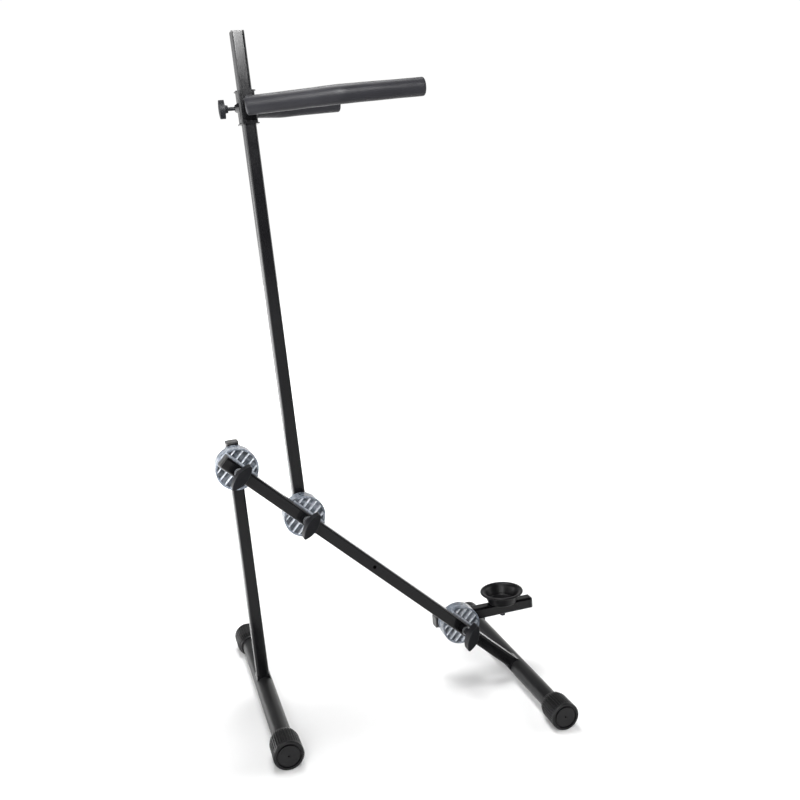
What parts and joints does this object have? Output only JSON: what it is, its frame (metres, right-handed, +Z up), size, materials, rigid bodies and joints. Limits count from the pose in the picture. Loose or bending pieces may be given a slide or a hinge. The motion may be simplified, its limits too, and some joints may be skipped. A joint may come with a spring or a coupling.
{
  "type": "musical instrument stand",
  "caption": "Folding floor stand for a string instrument: square-tube frame on round feet, clear ribbed joint discs with wing knobs, padded yoke on a sliding collar, rest cup on an arm.",
  "frame": {"origin": "centre of the bounding box on the floor plane", "axes": "+Z up, +X from the left foot to the right foot, +Y from the front to the back, so the feet lie along Y"},
  "size_m": [0.6228, 0.472, 1.1631],
  "materials": {
    "black_powder_coat": "fine satin powder coat",
    "black_plugs": "fine moulded grain",
    "black_rubber": "matt moulded rubber",
    "clear_polycarbonate": "clear moulded plastic",
    "black_steel_bolts": "black oxide",
    "zinc_steel": "zinc plated",
    "black_knobs": "fine moulded grain",
    "black_cup": "matt moulded rubber",
    "black_foam": "closed-cell foam with a smooth skin"
  },
  "bodies": {
    "crossbar_frame": {"crossbar_tube": "black_powder_coat", "crossbar_end_plug": "black_plugs", "crossbar_weld": "black_powder_coat", "right_foot_tube": "black_powder_coat", "right_foot_cap_front": "black_rubber", "right_foot_cap_rear": "black_rubber", "leg_joint_disc_front": "clear_polycarbonate", "pole_joint_disc_front": "clear_polycarbonate", "cup_joint_disc_front": "clear_polycarbonate", "leg_joint_washer": "zinc_steel", "pole_joint_washer": "zinc_steel", "cup_joint_washer": "zinc_steel", "leg_joint_bolt": "black_steel_bolts", "pole_joint_bolt": "black_steel_bolts", "cup_joint_bolt": "black_steel_bolts"},
    "left_leg": {"leg_tube": "black_powder_coat", "leg_top_plug": "black_plugs", "leg_weld": "black_powder_coat", "left_foot_tube": "black_powder_coat", "left_foot_cap_front": "black_rubber", "left_foot_cap_rear": "black_rubber", "leg_joint_disc_rear": "clear_polycarbonate"},
    "pole": {"pole_tube": "black_powder_coat", "pole_top_plug": "black_plugs", "pole_bottom_plug": "black_plugs", "pole_joint_disc_rear": "clear_polycarbonate"},
    "cup_arm": {"cup_arm_tube": "black_powder_coat", "cup_arm_plug_left": "black_plugs", "cup_arm_plug_right": "black_plugs", "rest_cup": "black_cup", "cup_screw": "zinc_steel", "cup_nut": "black_steel_bolts", "cup_joint_disc_rear": "clear_polycarbonate"},
    "yoke": {"yoke_collar": "black_powder_coat", "yoke_boss": "black_powder_coat", "yoke_arm_near": "black_powder_coat", "yoke_arm_far": "black_powder_coat", "yoke_foam_near": "black_foam", "yoke_foam_far": "black_foam"},
    "leg_knob": {"leg_joint_knob": "black_knobs"},
    "pole_knob": {"pole_joint_knob": "black_knobs"},
    "cup_knob": {"cup_joint_knob": "black_knobs"},
    "yoke_knob": {"yoke_knob": "black_knobs"}
  },
  "joints": [
    {"name": "leg_hinge", "type": "hinge", "parent": "crossbar_frame", "child": "left_leg", "pos_m": [-0.27462, -0.004, 0.44361], "axis": [0, -1, 0], "range_deg": [-125, 24]},
    {"name": "pole_hinge", "type": "hinge", "parent": "crossbar_frame", "child": "pole", "pos_m": [-0.15672, -0.004, 0.35136], "axis": [0, -1, 0], "range_deg": [-45, 24]},
    {"name": "cup_arm_hinge", "type": "hinge", "parent": "crossbar_frame", "child": "cup_arm", "pos_m": [0.14783, -0.004, 0.11307], "axis": [0, -1, 0], "range_deg": [-24, 130]},
    {"name": "yoke_slide", "type": "slide", "parent": "pole", "child": "yoke", "axis": [-0.1316, 0, 0.9913], "range_m": [-0.3, 0.06]},
    {"name": "leg_knob_turn", "type": "hinge", "parent": "crossbar_frame", "child": "leg_knob", "pos_m": [-0.27462, -0.0493, 0.44361], "axis": [0, -1, 0], "continuous": true},
    {"name": "pole_knob_turn", "type": "hinge", "parent": "crossbar_frame", "child": "pole_knob", "pos_m": [-0.15672, -0.0493, 0.35136], "axis": [0, -1, 0], "continuous": true},
    {"name": "cup_knob_turn", "type": "hinge", "parent": "crossbar_frame", "child": "cup_knob", "pos_m": [0.14783, -0.0493, 0.11307], "axis": [0, -1, 0], "continuous": true},
    {"name": "yoke_knob_turn", "type": "hinge", "parent": "yoke", "child": "yoke_knob", "pos_m": [-0.24862, 0.0233, 1.04379], "axis": [-0.9913, 0, -0.1316], "continuous": true}
  ]
}
